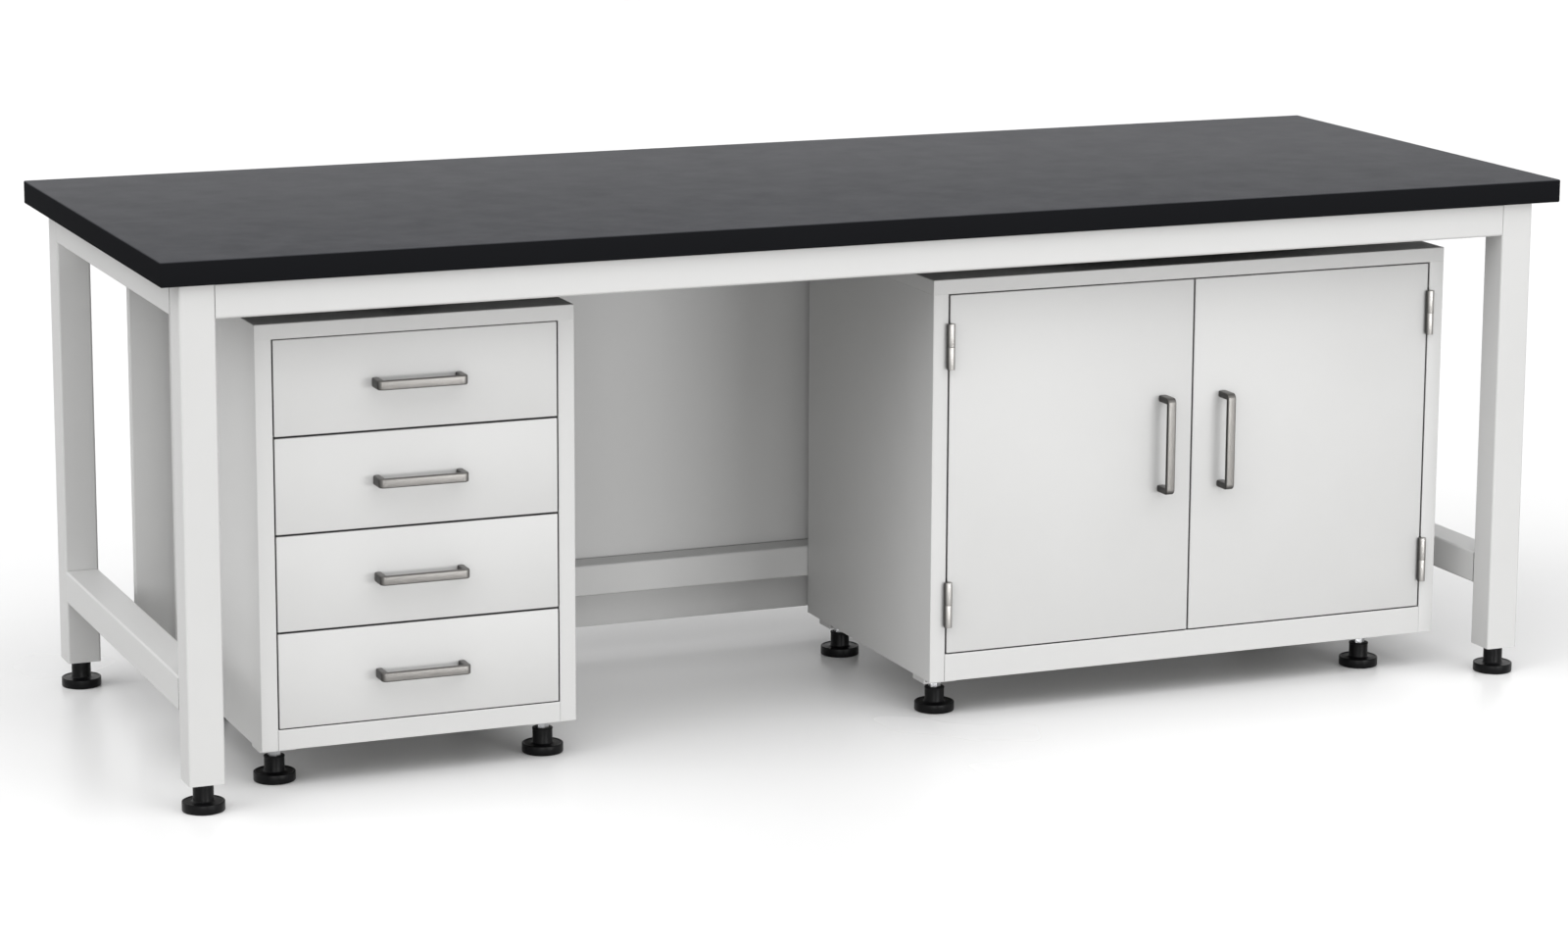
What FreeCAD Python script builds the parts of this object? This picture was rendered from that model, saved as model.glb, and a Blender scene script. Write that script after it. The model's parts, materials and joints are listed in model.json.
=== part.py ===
import FreeCAD, Part
import os
import Sketcher

# Laboratory bench: a dark worktop on a steel tube frame, with a drawer unit and a two-door cabinet.
# The origin is on the floor under the middle of the worktop: X along the bench, Y to the rear, Z up.

# Driving dimensions in millimetres.
SIZES = {
    # Worktop and the batten under its rear overhang
    "bench_height": 850,
    "worktop_length": 2400,
    "worktop_depth": 900,
    "worktop_thickness": 38,
    "worktop_edge_bevel": 1.5,
    "overhang_left": 30,
    "overhang_right": 46,
    "overhang_front": 12,
    "overhang_rear": 42,
    "batten_depth": 26,
    "batten_height": 18,
    "batten_end_inset": 8,
    # Tube frame
    "leg_size": 56,
    "tube_wall": 2,
    "tube_corner_radius": 4,
    "rail_height": 54,
    "long_rail_depth": 30,
    "long_rail_setback": 1.5,
    "lower_rail_level": 150,
    "leg_plate_thickness": 6,
    "stretcher_depth": 54,
    "stretcher_level": 127,
    "stretcher_end_inset": 30,
    "stretcher_plate_thickness": 4,
    # Back panel
    "panel_sheet": 1.2,
    "panel_flange": 15,
    "panel_level": 60,
    "panel_end_gap": 30,
    "service_space": 174,
    # Carcass of both units
    "unit_setback": 99,
    "unit_top_gap": 82,
    "unit_sheet": 1.2,
    "unit_back_flange": 15,
    "cap_height": 24,
    "stile_width": 27,
    "stile_lip": 36,
    "drawer_unit_offset": 167,
    "drawer_unit_width": 513,
    "drawer_unit_base": 32,
    "cabinet_offset": 161,
    "cabinet_width": 946,
    "cabinet_base": 45,
    # Drawer fronts and doors
    "front_depth": 18,
    "front_sheet": 1.2,
    "front_return": 30,
    "front_gap": 3,
    "front_side_gap": 2,
    # Drawer boxes
    "box_rear_gap": 48,
    "box_top_gap": 24.75,
    "box_lift": 20,
    "box_sheet": 1,
    # Roller runners
    "runner_sheet": 1.2,
    "runner_width": 12,
    "runner_rear_gap": 16,
    "runner_setback": 2,
    "runner_lift": 40,
    "runner_clearance": 0.3,
    "runner_side_clearance": 0.6,
    "roller_radius": 6.3,
    "roller_width": 8.6,
    "roller_inset": 14,
    "member_thickness": 1.4,
    "member_flange": 8.6,
    "member_height": 16,
    # Bow handles
    "handle_width": 15,
    "handle_bar": 8,
    "handle_post": 11,
    "handle_standoff": 36,
    "handle_bend_radius": 9,
    "drawer_handle_length": 145,
    "door_handle_length": 163,
    "door_handle_inset": 54,
    "door_handle_raise": 25,
    # Barrel hinges
    "hinge_gap": 3,
    "hinge_radius": 6.5,
    "hinge_length": 75,
    "hinge_inset": 83,
    "hinge_pin_radius": 3,
    "hinge_pin_cap": 8,
    "hinge_leaf": 1.2,
    "hinge_leaf_depth": 15,
    "hinge_face_gap": 0.3,
    "hinge_knuckle_gap": 0.4,
    "running_clearance": 0.05,
    # Cabinet shelf
    "shelf_level": 330,
    "shelf_thickness": 20,
    "shelf_side_gap": 1.5,
    "shelf_end_gap": 6,
    "shelf_tab_width": 24,
    "shelf_tab_reach": 14,
    "shelf_tab_inset": 60,
    # Levelling feet and their brackets
    "foot_radius": 33,
    "foot_disc_height": 15,
    "foot_collar_radius": 16,
    "foot_height": 44.6,
    "foot_seat_gap": 0.4,
    "spindle_radius": 6,
    "spindle_top": 88,
    "unit_collar_top": 39.8,
    "nut_height": 10.8,
    "nut_radius": 10.4,
    "bracket_width": 58,
    "bracket_depth": 44,
    "bracket_sheet": 3,
    "bracket_drop": 12,
    "unit_foot_inset_side": 36,
    "unit_foot_inset_front": 60,
    "cabinet_right_foot_inset": 108,
}

DRAWER_COUNT = 4
HALF_SHARE = 0.5
NUT_SIDES = 6
DISC_SIDES = 24
ROLLER_SIDES = 16

doc = FreeCAD.newDocument("laboratory_bench")
sheet = doc.addObject("Spreadsheet::Sheet", "Sizes")
for row, (alias, millimetres) in enumerate(SIZES.items(), start=1):
    sheet.set("A%d" % row, alias)
    sheet.set("B%d" % row, str(millimetres))
    sheet.setAlias("B%d" % row, alias)
doc.recompute()


class Size:
    """A length that carries its sheet expression and its value in millimetres."""

    def __init__(self, text, number):
        self.text = text
        self.number = number

    def joined(self, sign, other, number):
        return Size("(%s %s %s)" % (self.text, sign, as_size(other).text), number)

    def __add__(self, other):
        return self.joined("+", other, self.number + as_size(other).number)

    def __sub__(self, other):
        return self.joined("-", other, self.number - as_size(other).number)

    def __mul__(self, factor):
        return self.joined("*", factor, self.number * factor)

    def __neg__(self):
        return self * -1


def as_size(value):
    """Zero, a count or a share may stand beside a named size."""
    if isinstance(value, Size):
        return value
    return Size("(%s)" % value, value)


class Dimensions:
    """Every named size of the sheet as an attribute."""


dim = Dimensions()
for alias, millimetres in SIZES.items():
    setattr(dim, alias, Size("Sizes." + alias, millimetres))

nodes = []


def bind(item, prop, size):
    item.setExpression(prop, as_size(size).text)


def place(item, x, y, z):
    bind(item, "Placement.Base.x", x)
    bind(item, "Placement.Base.y", y)
    bind(item, "Placement.Base.z", z)


def node(name, *members):
    """One sub-part: a single object, or a group of separate pieces."""
    item = members[0]
    if len(members) > 1:
        item = doc.addObject("Part::Compound", name)
        item.Links = list(members)
    item.Label = name
    nodes.append(item)
    return item


def new_body(name, x, y, z):
    body = doc.addObject("PartDesign::Body", name)
    place(body, x, y, z)
    return body


def new_sketch(body, role, offset=0):
    """A sketch on one of the body's own origin planes, moved along the plane's normal."""
    plane = next(item for item in body.Origin.OriginFeatures if item.Role == role)
    sketch = body.newObject("Sketcher::SketchObject", body.Name + "_sketch")
    sketch.AttachmentSupport = [(plane, "")]
    sketch.MapMode = "FlatFace"
    bind(sketch, "AttachmentOffset.Base.z", offset)
    return sketch


def pin_point(sketch, line, end, point):
    """Hold one end of a line at a named place measured from the sketch's origin."""
    for kind, size in zip(("DistanceX", "DistanceY"), point):
        size = as_size(size)
        held = sketch.addConstraint(Sketcher.Constraint(kind, -1, 1, line, end, float(size.number)))
        bind(sketch, "Constraints[%d]" % held, size)


def vector(point):
    return FreeCAD.Vector(as_size(point[0]).number, as_size(point[1]).number, 0)


def outline(sketch, points):
    """A closed outline of straight lines through named points."""
    first = sketch.GeometryCount
    count = len(points)
    for index, point in enumerate(points):
        following = points[(index + 1) % count]
        sketch.addGeometry(Part.LineSegment(vector(point), vector(following)))
    for index, point in enumerate(points):
        following = (index + 1) % count
        sketch.addConstraint(Sketcher.Constraint("Coincident", first + index, 2, first + following, 1))
        pin_point(sketch, first + index, 1, point)


def rectangle(sketch, left, low, right, high):
    outline(sketch, [(left, low), (right, low), (right, high), (left, high)])


def rounded_rectangle(sketch, left, low, right, high, radius):
    """Four straight sides, each held at both ends, joined by corner arcs."""
    first = sketch.GeometryCount
    sides = [
        ((left + radius, low), (right - radius, low)),
        ((right, low + radius), (right, high - radius)),
        ((right - radius, high), (left + radius, high)),
        ((left, high - radius), (left, low + radius)),
    ]
    centres = [
        (right - radius, low + radius),
        (right - radius, high - radius),
        (left + radius, high - radius),
        (left + radius, low + radius),
    ]
    for start, end in sides:
        sketch.addGeometry(Part.LineSegment(vector(start), vector(end)))
    bulge = radius * HALF_SHARE ** HALF_SHARE
    for index, centre in enumerate(centres):
        middle = vector(centre)
        middle.x += bulge.number * (1 if index < 2 else -1)
        middle.y += bulge.number * (1 if index in (1, 2) else -1)
        arc = Part.Arc(vector(sides[index][1]), middle, vector(sides[(index + 1) % 4][0]))
        sketch.addGeometry(arc)
    for index, (start, end) in enumerate(sides):
        pin_point(sketch, first + index, 1, start)
        pin_point(sketch, first + index, 2, end)
    for index in range(4):
        arc = first + 4 + index
        following = first + (index + 1) % 4
        sketch.addConstraint(Sketcher.Constraint("Coincident", first + index, 2, arc, 1))
        sketch.addConstraint(Sketcher.Constraint("Coincident", arc, 2, following, 1))
        held = sketch.addConstraint(Sketcher.Constraint("Radius", arc, float(radius.number)))
        bind(sketch, "Constraints[%d]" % held, radius)


def circle(sketch, x, y, radius):
    centre = vector((x, y))
    ring = sketch.addGeometry(Part.Circle(centre, FreeCAD.Vector(0, 0, 1), radius.number))
    pin_point(sketch, ring, 3, (x, y))
    held = sketch.addConstraint(Sketcher.Constraint("Radius", ring, float(radius.number)))
    bind(sketch, "Constraints[%d]" % held, radius)


def pad(body, sketch, length, backwards=False):
    feature = body.newObject("PartDesign::Pad", body.Name + "_pad")
    feature.Profile = sketch
    feature.Reversed = backwards
    bind(feature, "Length", length)
    return feature


def pocket(body, sketch, depth, backwards=False):
    feature = body.newObject("PartDesign::Pocket", body.Name + "_pocket")
    feature.Profile = sketch
    feature.Reversed = backwards
    bind(feature, "Length", depth)
    return feature


def revolve(body, sketch):
    feature = body.newObject("PartDesign::Revolution", body.Name + "_revolution")
    feature.Profile = sketch
    feature.ReferenceAxis = (sketch, ["V_Axis"])
    feature.Angle = 360
    return feature


def fillet(body, base, radius, wanted):
    """Round the edges of the base feature whose middle point and direction pass the test."""
    doc.recompute()
    names = []
    for index, edge in enumerate(base.Shape.Edges, start=1):
        if wanted(edge.CenterOfMass, edge.tangentAt(edge.FirstParameter)):
            names.append("Edge%d" % index)
    feature = body.newObject("PartDesign::Fillet", body.Name + "_fillet")
    feature.Base = (base, names)
    bind(feature, "Radius", radius)
    return feature


def near(value, size):
    return abs(value - as_size(size).number) < dim.running_clearance.number


def tube(name, role, width, height, length, at, backwards=False):
    """A rolled steel tube with rounded corners, drawn by its section and its length."""
    body = new_body(name, *at)
    wall = dim.tube_wall
    section = new_sketch(body, role)
    rounded_rectangle(section, as_size(0), as_size(0), width, height, dim.tube_corner_radius)
    rectangle(section, wall, wall, width - wall, height - wall)
    pad(body, section, length, backwards)
    return body


def pan(name, role, outer, inner, depth, skin, at, backwards=False):
    """Folded sheet: a flat skin on the body's plane with flanges of one depth round its edge."""
    body = new_body(name, *at)
    blank = new_sketch(body, role)
    outline(blank, outer)
    pad(body, blank, depth, backwards)
    hollow = new_sketch(body, role, -depth if backwards else depth)
    outline(hollow, inner)
    pocket(body, hollow, depth - skin, backwards)
    return body


def frame_outline(left, low, right, high, inset):
    return [
        (left + inset, low + inset),
        (right - inset, low + inset),
        (right - inset, high - inset),
        (left + inset, high - inset),
    ]


def box_pan(name, role, width, height, depth, skin, at, backwards=False):
    zero = as_size(0)
    outer = frame_outline(zero, zero, width, height, 0)
    inner = frame_outline(zero, zero, width, height, skin)
    return pan(name, role, outer, inner, depth, skin, at, backwards)


def lipped_pan(name, width, height, at):
    """A drawer front or a door: skin and folded edges, with return lips turned in behind."""
    skin = dim.front_sheet
    depth = dim.front_depth
    zero = as_size(0)
    body = new_body(name, *at)
    blank = new_sketch(body, "XZ_Plane")
    outline(blank, frame_outline(zero, zero, width, height, 0))
    pad(body, blank, depth, backwards=True)
    hollow = new_sketch(body, "XZ_Plane", skin - depth)
    outline(hollow, frame_outline(zero, zero, width, height, skin))
    pocket(body, hollow, depth - skin * 2, backwards=True)
    window = new_sketch(body, "XZ_Plane", -depth)
    outline(window, frame_outline(zero, zero, width, height, dim.front_return))
    pocket(body, window, skin, backwards=True)
    return body


# Places that several pieces share
underside = dim.bench_height - dim.worktop_thickness
half_length = dim.worktop_length * HALF_SHARE
half_depth = dim.worktop_depth * HALF_SHARE
frame_left = -half_length + dim.overhang_left
frame_right = half_length - dim.overhang_right
frame_front = -half_depth + dim.overhang_front
frame_rear = half_depth - dim.overhang_rear
leg_bottom = dim.foot_height + dim.foot_seat_gap
top_rail_level = underside - dim.rail_height
bracket_bottom = dim.unit_collar_top + dim.nut_height + dim.foot_seat_gap
unit_bottom = bracket_bottom + dim.bracket_drop
unit_front = -half_depth + dim.unit_setback
stretcher_rear = frame_rear - dim.service_space - dim.panel_flange
stretcher_front = stretcher_rear - dim.stretcher_depth
unit_depth = stretcher_front - unit_front
unit_height = underside - dim.unit_top_gap - unit_bottom
side_height = unit_height - dim.cap_height
box_depth = unit_depth - dim.front_depth - dim.box_rear_gap
runner_length = unit_depth - dim.front_depth - dim.runner_setback - dim.runner_rear_gap
drawer_unit_left = -half_length + dim.drawer_unit_offset
cabinet_left = half_length - dim.cabinet_offset - dim.cabinet_width
runner_height = dim.runner_sheet * 2 + dim.roller_radius * 4 + dim.runner_clearance * 4 + dim.member_thickness
runner_space = dim.runner_width + dim.runner_side_clearance + dim.member_thickness


def make_worktop():
    board = new_body("worktop", -half_length, -half_depth, underside)
    plan = new_sketch(board, "XY_Plane")
    rectangle(plan, as_size(0), as_size(0), dim.worktop_length, dim.worktop_depth)
    slab = pad(board, plan, dim.worktop_thickness)
    eased = board.newObject("PartDesign::Chamfer", "worktop_eased_edges")
    eased.Base = (slab, [])
    eased.UseAllEdges = True
    bind(eased, "Size", dim.worktop_edge_bevel)
    node("worktop", board)

    batten = doc.addObject("Part::Box", "rear_batten")
    bind(batten, "Length", frame_right - frame_left - dim.batten_end_inset * 2)
    bind(batten, "Width", dim.batten_depth)
    bind(batten, "Height", dim.batten_height)
    place(batten, frame_left + dim.batten_end_inset, frame_rear, underside - dim.batten_height)
    node("rear_batten", batten)


def make_leg(name, x, y):
    node(name, tube(name, "XY_Plane", dim.leg_size, dim.leg_size, underside - leg_bottom, (x, y, leg_bottom)))


def leg_plate(name, x, y):
    """The plate that closes a leg's foot, with the thread for the spindle."""
    body = new_body(name, x + dim.tube_wall, y + dim.tube_wall, leg_bottom)
    side = dim.leg_size - dim.tube_wall * 2
    section = new_sketch(body, "XY_Plane")
    rectangle(section, as_size(0), as_size(0), side, side)
    circle(section, side * HALF_SHARE, side * HALF_SHARE, dim.spindle_radius + dim.running_clearance)
    pad(body, section, dim.leg_plate_thickness)
    return body


def make_frame():
    leg = dim.leg_size
    corners = {
        "front_left": (frame_left, frame_front),
        "front_right": (frame_right - leg, frame_front),
        "rear_left": (frame_left, frame_rear - leg),
        "rear_right": (frame_right - leg, frame_rear - leg),
    }
    plates = []
    for corner, (x, y) in corners.items():
        make_leg(corner + "_leg", x, y)
        plates.append(leg_plate(corner + "_foot_plate", x, y))
    node("leg_foot_plates", *plates)

    side_length = frame_rear - frame_front - leg * 2
    for side, x in (("left", frame_left), ("right", frame_right - leg)):
        for rail, level in (("top", top_rail_level), ("lower", dim.lower_rail_level)):
            name = "%s_%s_rail" % (side, rail)
            at = (x, frame_front + leg, level)
            node(name, tube(name, "XZ_Plane", leg, dim.rail_height, side_length, at, backwards=True))

    clear_length = frame_right - frame_left - leg * 2
    front_face = frame_front + dim.long_rail_setback
    rear_face = frame_rear - dim.long_rail_setback - dim.long_rail_depth
    for name, y in (("front_top_rail", front_face), ("rear_top_rail", rear_face)):
        at = (frame_left + leg, y, top_rail_level)
        node(name, tube(name, "YZ_Plane", dim.long_rail_depth, dim.rail_height, clear_length, at))

    make_stretcher()
    panel_left = frame_left + leg + dim.panel_end_gap
    panel_length = clear_length - dim.panel_end_gap * 2
    panel_height = underside - dim.panel_level
    at = (panel_left, stretcher_rear, dim.panel_level)
    node("back_panel", box_pan("back_panel", "XZ_Plane", panel_length, panel_height, dim.panel_flange,
                               dim.panel_sheet, at, backwards=True))
    for corner, (x, y) in corners.items():
        middle = leg * HALF_SHARE
        make_foot(corner + "_leg_foot", x + middle, y + middle, dim.foot_height, with_nut=False)


def make_stretcher():
    """A tube closed by a plate at each end, bolted to the backs of both units to carry the back panel."""
    start = drawer_unit_left + dim.stretcher_end_inset
    length = cabinet_left + dim.cabinet_width - dim.stretcher_end_inset - start
    body = new_body("long_stretcher", start, stretcher_front, dim.stretcher_level)
    plate = dim.stretcher_plate_thickness
    wall = dim.tube_wall
    radius = dim.tube_corner_radius
    for begin, reach, hollow in (
            (as_size(0), plate, False), (plate, length - plate * 2, True), (length - plate, plate, False)):
        section = new_sketch(body, "YZ_Plane", begin)
        rounded_rectangle(section, as_size(0), as_size(0), dim.stretcher_depth, dim.rail_height, radius)
        if hollow:
            rectangle(section, wall, wall, dim.stretcher_depth - wall, dim.rail_height - wall)
        pad(body, section, reach)
    node("long_stretcher", body)


def prism(name, sides, radius, height, x, y, z):
    """A round or six-sided block with flat sides, standing on the given place."""
    block = doc.addObject("Part::Prism", name)
    block.Polygon = sides
    bind(block, "Circumradius", radius)
    bind(block, "Height", height)
    place(block, x, y, z)
    return block


def make_foot(name, x, y, collar_top, with_nut):
    """A round base with a collar, moulded on a threaded spindle, with a lock nut under a unit."""
    collar_height = collar_top - dim.foot_disc_height
    spindle = doc.addObject("Part::Cylinder", name + "_spindle")
    bind(spindle, "Radius", dim.spindle_radius)
    bind(spindle, "Height", dim.spindle_top)
    place(spindle, x, y, 0)
    solids = [
        prism(name + "_disc", DISC_SIDES, dim.foot_radius, dim.foot_disc_height, x, y, 0),
        prism(name + "_collar", ROLLER_SIDES, dim.foot_collar_radius, collar_height, x, y,
              dim.foot_disc_height),
        spindle,
    ]
    if with_nut:
        solids.append(prism(name + "_nut", NUT_SIDES, dim.nut_radius, dim.nut_height, x, y, collar_top))
    foot = doc.addObject("Part::MultiFuse", name)
    foot.Shapes = solids
    node(name, foot)


def carcass_side(name, x, sign, tabs):
    """A folded side: web, front stile and rear flange, each with a lip turned in."""
    skin = dim.unit_sheet
    stile = dim.stile_width
    lip = dim.stile_lip
    depth = unit_depth
    body = new_body(name, x, unit_front, unit_bottom)
    plan = new_sketch(body, "XY_Plane")
    points = [
        (as_size(0), as_size(0)), (stile, as_size(0)), (stile, lip), (stile - skin, lip),
        (stile - skin, skin), (skin, skin), (skin, depth - skin), (stile - skin, depth - skin),
        (stile - skin, depth - lip), (stile, depth - lip), (stile, depth), (as_size(0), depth),
    ]
    outline(plan, [(across * sign, along) for across, along in points])
    pad(body, plan, side_height)
    if tabs:
        shelf_tabs(body, sign)
    node(name, body)


def shelf_tabs(body, sign):
    """Two tabs pressed out of the web, for the shelf to rest on."""
    skin = dim.unit_sheet
    rear_tab = unit_depth - dim.stile_lip - dim.shelf_tab_inset - dim.shelf_tab_width
    for start in (dim.stile_lip + dim.shelf_tab_inset, rear_tab):
        tab = new_sketch(body, "XY_Plane", dim.shelf_level - skin)
        rectangle(tab, skin * sign, start, dim.shelf_tab_reach * sign, start + dim.shelf_tab_width)
        pad(body, tab, skin)


def notched_plan(width, inset):
    """The plan of a unit's bottom, notched at its corners round the stiles' lips."""
    skin = dim.unit_sheet
    near_stile = dim.stile_width + inset
    far_stile = width - near_stile
    near_web = skin + inset
    far_web = width - near_web
    front_lip = dim.stile_lip + inset
    rear_lip = unit_depth - front_lip
    front = as_size(inset)
    rear = unit_depth - inset
    return [
        (near_stile, front), (far_stile, front), (far_stile, front_lip), (far_web, front_lip),
        (far_web, rear_lip), (far_stile, rear_lip), (far_stile, rear), (near_stile, rear),
        (near_stile, rear_lip), (near_web, rear_lip), (near_web, front_lip), (near_stile, front_lip),
    ]


def make_carcass(unit, left, width, base, tabs):
    """Cap, sides, back and bottom of a unit."""
    skin = dim.unit_sheet
    stile = dim.stile_width
    carcass_side(unit + "_left_side", left, 1, tabs)
    carcass_side(unit + "_right_side", left + width, -1, tabs)
    top = (left, unit_front, unit_bottom + unit_height)
    node(unit + "_cap", box_pan(unit + "_cap", "XY_Plane", width, unit_depth, dim.cap_height, skin, top,
                                backwards=True))
    floor = (left, unit_front, unit_bottom + base)
    outer, inner = notched_plan(width, 0), notched_plan(width, skin)
    node(unit + "_bottom", pan(unit + "_bottom", "XY_Plane", outer, inner, base, skin, floor, backwards=True))
    rear = (left + stile, unit_front + unit_depth, unit_bottom + base)
    node(unit + "_back", box_pan(unit + "_back", "XZ_Plane", width - stile * 2, side_height - base,
                                 dim.unit_back_flange, skin, rear))


def unit_foot_places(left, width, right_side):
    side = dim.unit_foot_inset_side
    front = unit_front + dim.unit_foot_inset_front
    rear = unit_front + unit_depth - dim.unit_foot_inset_front
    return {
        "front_left": (left + side, front),
        "front_right": (left + width - right_side, front),
        "rear_left": (left + side, rear),
        "rear_right": (left + width - right_side, rear),
    }


def foot_bracket(name, x, y, base):
    """A channel welded under a unit's bottom, with the thread for a levelling foot."""
    wall = dim.bracket_sheet
    half = dim.bracket_width * HALF_SHARE
    rise = dim.bracket_drop + base - dim.unit_sheet
    body = new_body(name, x, y - dim.bracket_depth * HALF_SHARE, bracket_bottom)
    section = new_sketch(body, "XZ_Plane")
    outline(section, [
        (-half, as_size(0)), (half, as_size(0)), (half, rise), (half - wall, rise),
        (half - wall, wall), (wall - half, wall), (wall - half, rise), (-half, rise),
    ])
    pad(body, section, dim.bracket_depth, backwards=True)
    thread = new_sketch(body, "XY_Plane", wall)
    circle(thread, as_size(0), dim.bracket_depth * HALF_SHARE, dim.spindle_radius + dim.running_clearance)
    pocket(body, thread, wall)
    return body


def make_unit_feet():
    brackets = []
    units = (
        ("drawer_unit", dim.drawer_unit_base, drawer_unit_left, dim.drawer_unit_width,
         dim.unit_foot_inset_side),
        ("cabinet", dim.cabinet_base, cabinet_left, dim.cabinet_width, dim.cabinet_right_foot_inset),
    )
    for unit, base, left, width, right_side in units:
        for corner, (x, y) in unit_foot_places(left, width, right_side).items():
            brackets.append(foot_bracket("%s_%s_bracket" % (unit, corner), x, y, base))
            make_foot("%s_%s_foot" % (unit, corner), x, y, dim.unit_collar_top, with_nut=True)
    node("unit_foot_brackets", *brackets)


def make_handle(name, role, length, at):
    """A bow handle: a flat bar bent back into two posts."""
    half = length * HALF_SHARE
    reach = dim.handle_standoff
    post = dim.handle_post
    inner = dim.handle_bar - reach
    upright = role == "YZ_Plane"
    points = [
        (-half, as_size(0)), (-half, -reach), (half, -reach), (half, as_size(0)),
        (half - post, as_size(0)), (half - post, inner), (post - half, inner), (post - half, as_size(0)),
    ]
    if upright:
        points = [(outward, along) for along, outward in points]
    body = new_body(name, *at)
    profile = new_sketch(body, role)
    outline(profile, points)
    bar = pad(body, profile, dim.handle_width)

    def outer_bend(middle, direction):
        along, outward = (middle.z, middle.y) if upright else (middle.x, middle.y)
        return near(abs(along), half) and near(outward, -reach)

    fillet(body, bar, dim.handle_bend_radius, outer_bend)
    node(name, body)


def make_drawer(number, level, height):
    """One drawer: its front, its box with runner members and rollers, and its handle."""
    name = "drawer_%d" % number
    opening = dim.drawer_unit_width - dim.stile_width * 2
    opening_left = drawer_unit_left + dim.stile_width
    front_width = opening - dim.front_side_gap * 2
    front_at = (opening_left + dim.front_side_gap, unit_front, level)
    node(name + "_front", lipped_pan(name + "_front", front_width, height, front_at))

    box_left = opening_left + runner_space
    box_width = opening - runner_space * 2
    box_front = unit_front + dim.front_depth
    box_at = (box_left, box_front, level + dim.box_lift)
    box_height = height - dim.box_lift - dim.box_top_gap
    box = box_pan(name + "_tray", "XY_Plane", box_width, box_depth, box_height, dim.box_sheet, box_at)
    pieces = [box]
    flange_level = level + dim.runner_lift + dim.runner_sheet + (dim.roller_radius + dim.runner_clearance) * 2
    for side, x, sign in (("left", box_left, -1), ("right", box_left + box_width, 1)):
        pieces.append(drawer_member("%s_%s_member" % (name, side), x, box_front, flange_level, sign))
        pieces.append(drawer_roller("%s_%s_roller" % (name, side), x, box_front, flange_level, sign))
    node(name + "_box", *pieces)

    handle_at = (drawer_unit_left + dim.drawer_unit_width * HALF_SHARE, unit_front,
                 level + (height - dim.handle_width) * HALF_SHARE)
    make_handle(name + "_handle", "XY_Plane", dim.drawer_handle_length, handle_at)


def drawer_member(name, x, y, z, sign):
    """An angle along the box's side whose flange runs inside the fixed rail."""
    wall = dim.member_thickness
    reach = wall + dim.member_flange
    body = new_body(name, x, y, z)
    section = new_sketch(body, "XZ_Plane")
    points = [
        (as_size(0), as_size(0)), (reach, as_size(0)), (reach, wall), (wall, wall),
        (wall, dim.member_height), (as_size(0), dim.member_height),
    ]
    outline(section, [(across * sign, up) for across, up in points])
    pad(body, section, box_depth, backwards=True)
    return body


def roller(name, x, y, z):
    wheel = prism(name, ROLLER_SIDES, dim.roller_radius, dim.roller_width, x, y, z)
    wheel.Placement.Rotation = FreeCAD.Rotation(FreeCAD.Vector(0, 1, 0), 90)
    return wheel


def drawer_roller(name, x, y, flange_level, sign):
    """The rear roller of a drawer, above the flange and under the rail's top edge."""
    start = x - dim.member_thickness - dim.roller_width if sign < 0 else x + dim.member_thickness
    rear = y + box_depth - dim.roller_inset
    level = flange_level + dim.member_thickness + dim.runner_clearance + dim.roller_radius
    return roller(name, start, rear, level)


def fixed_runner(name, x, level, sign):
    """A channel screwed to the stile's lip and the rear lip, with a roller at its front end."""
    skin = dim.runner_sheet
    width = dim.runner_width
    start = unit_front + dim.front_depth + dim.runner_setback
    body = new_body(name, x, start, level)
    section = new_sketch(body, "XZ_Plane")
    points = [
        (as_size(0), as_size(0)), (width, as_size(0)), (width, skin), (skin, skin),
        (skin, runner_height - skin), (width, runner_height - skin), (width, runner_height),
        (as_size(0), runner_height),
    ]
    outline(section, [(across * sign, up) for across, up in points])
    pad(body, section, runner_length, backwards=True)
    wheel_left = x + skin if sign > 0 else x - skin - dim.roller_width
    wheel_level = level + skin + dim.runner_clearance + dim.roller_radius
    return body, roller(name + "_roller", wheel_left, start + dim.roller_inset, wheel_level)


def make_drawer_unit():
    make_carcass("drawer_unit", drawer_unit_left, dim.drawer_unit_width, dim.drawer_unit_base, tabs=False)
    opening_height = side_height - dim.drawer_unit_base
    pitch = opening_height * (1 / DRAWER_COUNT)
    height = pitch - dim.front_gap
    left_lip = drawer_unit_left + dim.stile_width
    right_lip = drawer_unit_left + dim.drawer_unit_width - dim.stile_width
    rails = []
    for number in range(1, DRAWER_COUNT + 1):
        below = pitch * (DRAWER_COUNT - number) + dim.front_gap * HALF_SHARE
        level = unit_bottom + dim.drawer_unit_base + below
        make_drawer(number, level, height)
        rail_level = level + dim.runner_lift
        rails.extend(fixed_runner("runner_%d_left" % number, left_lip, rail_level, 1))
        rails.extend(fixed_runner("runner_%d_right" % number, right_lip, rail_level, -1))
    node("drawer_unit_runners", *rails)


def hinge_leaf(body, sign, low, high):
    """The leaf in the gap beside the door, and the neck that carries it from its knuckle."""
    gap = dim.hinge_gap * HALF_SHARE
    outer = gap * sign
    inner = (gap - dim.hinge_leaf) * sign
    face = dim.hinge_radius + dim.hinge_face_gap
    leaf = new_sketch(body, "XY_Plane")
    rectangle(leaf, inner, face, outer, face + dim.hinge_leaf_depth)
    pad(body, leaf, dim.hinge_length)
    neck = new_sketch(body, "XY_Plane", low)
    rectangle(neck, inner, dim.hinge_radius - dim.hinge_leaf, outer, face)
    pad(body, neck, high - low)


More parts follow.
